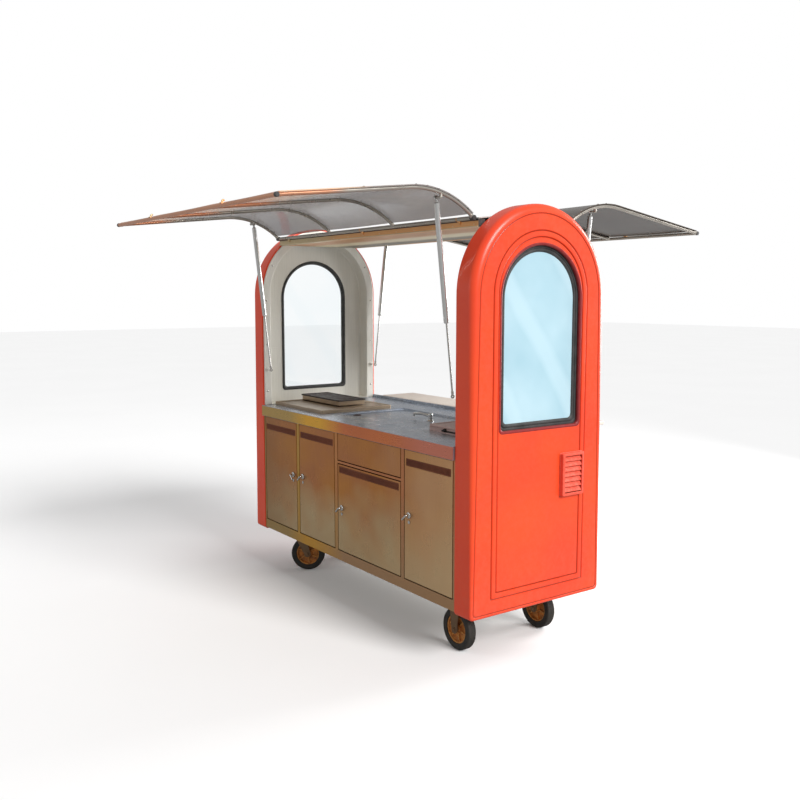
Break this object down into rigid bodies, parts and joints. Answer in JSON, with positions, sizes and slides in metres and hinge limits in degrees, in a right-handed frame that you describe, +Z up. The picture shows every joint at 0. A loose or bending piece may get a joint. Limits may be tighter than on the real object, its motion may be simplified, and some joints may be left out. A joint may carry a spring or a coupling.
{
  "type": "mobile food cart",
  "caption": "Street food cart on casters: arched red end panels with windows, steel cabinet with doors and a drawer, worktop and two lifting clear awnings on gas struts.",
  "frame": {"origin": "on the floor, under the middle of the cart's bounding box", "axes": "+Z up; +X towards the right end panel, where the fixed casters are; -Y towards the front with the cabinet doors, and the open awnings reach out along -Y and +Y"},
  "size_m": [2.1176, 2.5014, 2.1064],
  "materials": {
    "red_moulding": "glossy moulded glass-fibre",
    "pale_lining": "satin pale sheet",
    "window_rubber": "matt",
    "window_glass": "clear, faintly blue",
    "frame_steel": "worn dark paint",
    "case_steel": "brushed",
    "cabinet_steel": "brushed, warm reflections",
    "worktop_steel": "brushed, cool reflections",
    "bright_chrome": "polished",
    "appliance_steel": "brushed",
    "griddle_iron": "seasoned",
    "shelf_sheet": "satin",
    "beam_steel": "brushed, golden reflections",
    "roof_sheet": "satin",
    "awning_tube": "satin",
    "awning_sheet": "smoked translucent sheet",
    "strut_silver": "bright",
    "caster_steel": "zinc plated, dull",
    "tyre_black": "worn rubber",
    "hub_metal": "rust-brown"
  },
  "bodies": {
    "cart": {"right_end_shell": "red_moulding", "left_end_shell": "red_moulding", "right_end_lining": "pale_lining", "left_end_lining": "pale_lining", "right_window_seal": "window_rubber", "left_window_seal": "window_rubber", "right_window_glass": "window_glass", "left_window_glass": "window_glass", "right_vent": "red_moulding", "left_vent": "red_moulding", "base_frame": "frame_steel", "cabinet_carcass": "case_steel", "cabinet_face_frame": "cabinet_steel", "worktop": "worktop_steel", "tap": "bright_chrome", "griddle_tray": "appliance_steel", "griddle_plate": "griddle_iron", "burner_box": "appliance_steel", "front_roof_beam": "beam_steel", "back_roof_beam": "beam_steel", "roof_skin": "roof_sheet", "ceiling": "roof_sheet", "front_left_caster_plate": "caster_steel", "back_left_caster_plate": "caster_steel", "front_right_fork": "caster_steel", "back_right_fork": "caster_steel"},
    "front_awning": {"front_awning_frame": "awning_tube", "front_awning_sheet": "awning_sheet"},
    "back_awning": {"back_awning_frame": "awning_tube", "back_awning_sheet": "awning_sheet"},
    "serving_shelf": {"serving_shelf": "shelf_sheet"},
    "drawer": {"drawer": "cabinet_steel"},
    "front_left_strut_cylinder": {"front_left_strut_cylinder": "strut_silver"},
    "front_left_strut_rod": {"front_left_strut_rod": "bright_chrome"},
    "front_right_strut_cylinder": {"front_right_strut_cylinder": "strut_silver"},
    "front_right_strut_rod": {"front_right_strut_rod": "bright_chrome"},
    "back_left_strut_cylinder": {"back_left_strut_cylinder": "strut_silver"},
    "back_left_strut_rod": {"back_left_strut_rod": "bright_chrome"},
    "back_right_strut_cylinder": {"back_right_strut_cylinder": "strut_silver"},
    "back_right_strut_rod": {"back_right_strut_rod": "bright_chrome"},
    "left_door": {"left_door": "cabinet_steel"},
    "centre_left_door": {"centre_left_door": "cabinet_steel"},
    "lower_centre_door": {"lower_centre_door": "cabinet_steel"},
    "right_door": {"right_door": "cabinet_steel"},
    "front_left_caster": {"front_left_fork": "caster_steel"},
    "front_left_wheel": {"front_left_wheel_tyre": "tyre_black", "front_left_wheel_hub": "hub_metal"},
    "front_right_wheel": {"front_right_wheel_tyre": "tyre_black", "front_right_wheel_hub": "hub_metal"},
    "back_left_caster": {"back_left_fork": "caster_steel"},
    "back_left_wheel": {"back_left_wheel_tyre": "tyre_black", "back_left_wheel_hub": "hub_metal"},
    "back_right_wheel": {"back_right_wheel_tyre": "tyre_black", "back_right_wheel_hub": "hub_metal"}
  },
  "joints": [
    {"name": "front_awning_hinge", "type": "hinge", "parent": "cart", "child": "front_awning", "pos_m": [0, -0.292, 1.985], "axis": [1, 0, 0], "range_deg": [0, 83.8]},
    {"name": "front_left_strut_pivot", "type": "hinge", "parent": "front_awning", "child": "front_left_strut_cylinder", "pos_m": [-0.8682, -0.46948, 2.0626], "axis": [1, 0, 0], "range_deg": [-88.98, 0]},
    {"name": "front_left_strut_slide", "type": "slide", "parent": "front_left_strut_cylinder", "child": "front_left_strut_rod", "axis": [0, -0.1136, 0.9935], "range_m": [0, 0.2515]},
    {"name": "front_right_strut_pivot", "type": "hinge", "parent": "front_awning", "child": "front_right_strut_cylinder", "pos_m": [0.8682, -0.46948, 2.0626], "axis": [1, 0, 0], "range_deg": [-88.98, 0]},
    {"name": "front_right_strut_slide", "type": "slide", "parent": "front_right_strut_cylinder", "child": "front_right_strut_rod", "axis": [0, -0.1136, 0.9935], "range_m": [0, 0.2515]},
    {"name": "back_awning_hinge", "type": "hinge", "parent": "cart", "child": "back_awning", "pos_m": [0, 0.292, 1.985], "axis": [-1, 0, 0], "range_deg": [0, 81]},
    {"name": "back_left_strut_pivot", "type": "hinge", "parent": "back_awning", "child": "back_left_strut_cylinder", "pos_m": [-0.8682, 0.46885, 2.05288], "axis": [-1, 0, 0], "range_deg": [-86.38, 0]},
    {"name": "back_left_strut_slide", "type": "slide", "parent": "back_left_strut_cylinder", "child": "back_left_strut_rod", "axis": [0, 0.1141, 0.9935], "range_m": [0, 0.2378]},
    {"name": "back_right_strut_pivot", "type": "hinge", "parent": "back_awning", "child": "back_right_strut_cylinder", "pos_m": [0.8682, 0.46885, 2.05288], "axis": [-1, 0, 0], "range_deg": [-86.38, 0]},
    {"name": "back_right_strut_slide", "type": "slide", "parent": "back_right_strut_cylinder", "child": "back_right_strut_rod", "axis": [0, 0.1141, 0.9935], "range_m": [0, 0.2378]},
    {"name": "left_door_hinge", "type": "hinge", "parent": "cart", "child": "left_door", "pos_m": [-0.9025, -0.396, 0.6175], "axis": [0, 0, -1], "range_deg": [0, 90]},
    {"name": "centre_left_door_hinge", "type": "hinge", "parent": "cart", "child": "centre_left_door", "pos_m": [-0.10908, -0.396, 0.6175], "axis": [0, 0, 1], "range_deg": [0, 90]},
    {"name": "lower_centre_door_hinge", "type": "hinge", "parent": "cart", "child": "lower_centre_door", "pos_m": [0.50183, -0.396, 0.53625], "axis": [0, 0, 1], "range_deg": [0, 90]},
    {"name": "right_door_hinge", "type": "hinge", "parent": "cart", "child": "right_door", "pos_m": [0.9025, -0.396, 0.6175], "axis": [0, 0, 1], "range_deg": [0, 90]},
    {"name": "drawer_slide", "type": "slide", "parent": "cart", "child": "drawer", "axis": [0, -1, 0], "range_m": [0, 0.3]},
    {"name": "serving_shelf_hinge", "type": "hinge", "parent": "cart", "child": "serving_shelf", "pos_m": [0, 0.4055, 0.997], "axis": [-1, 0, 0], "range_deg": [0, 90]},
    {"name": "front_left_caster_swivel", "type": "hinge", "parent": "cart", "child": "front_left_caster", "pos_m": [-0.757, -0.252, 0.225], "axis": [0, 0, 1], "continuous": true},
    {"name": "front_left_wheel_roll", "type": "hinge", "parent": "front_left_caster", "child": "front_left_wheel", "pos_m": [-0.72486, -0.2137, 0.1], "axis": [-0.766, 0.6428, 0], "continuous": true},
    {"name": "front_right_wheel_roll", "type": "hinge", "parent": "cart", "child": "front_right_wheel", "pos_m": [0.78, -0.252, 0.1], "axis": [0, 1, 0], "continuous": true},
    {"name": "back_left_caster_swivel", "type": "hinge", "parent": "cart", "child": "back_left_caster", "pos_m": [-0.757, 0.252, 0.225], "axis": [0, 0, 1], "continuous": true},
    {"name": "back_left_wheel_roll", "type": "hinge", "parent": "back_left_caster", "child": "back_left_wheel", "pos_m": [-0.72486, 0.2903, 0.1], "axis": [-0.766, 0.6428, 0], "continuous": true},
    {"name": "back_right_wheel_roll", "type": "hinge", "parent": "cart", "child": "back_right_wheel", "pos_m": [0.78, 0.252, 0.1], "axis": [0, 1, 0], "continuous": true}
  ],
  "couplings": [
    {"joint": "front_left_strut_pivot", "follows": "front_awning_hinge", "ratio": -1.0595},
    {"joint": "front_left_strut_slide", "follows": "front_awning_hinge", "m_per_rad": 0.17161},
    {"joint": "front_right_strut_pivot", "follows": "front_awning_hinge", "ratio": -1.0595},
    {"joint": "front_right_strut_slide", "follows": "front_awning_hinge", "m_per_rad": 0.17161},
    {"joint": "back_left_strut_pivot", "follows": "back_awning_hinge", "ratio": -1.0639},
    {"joint": "back_left_strut_slide", "follows": "back_awning_hinge", "m_per_rad": 0.16786},
    {"joint": "back_right_strut_pivot", "follows": "back_awning_hinge", "ratio": -1.0639},
    {"joint": "back_right_strut_slide", "follows": "back_awning_hinge", "m_per_rad": 0.16786}
  ]
}
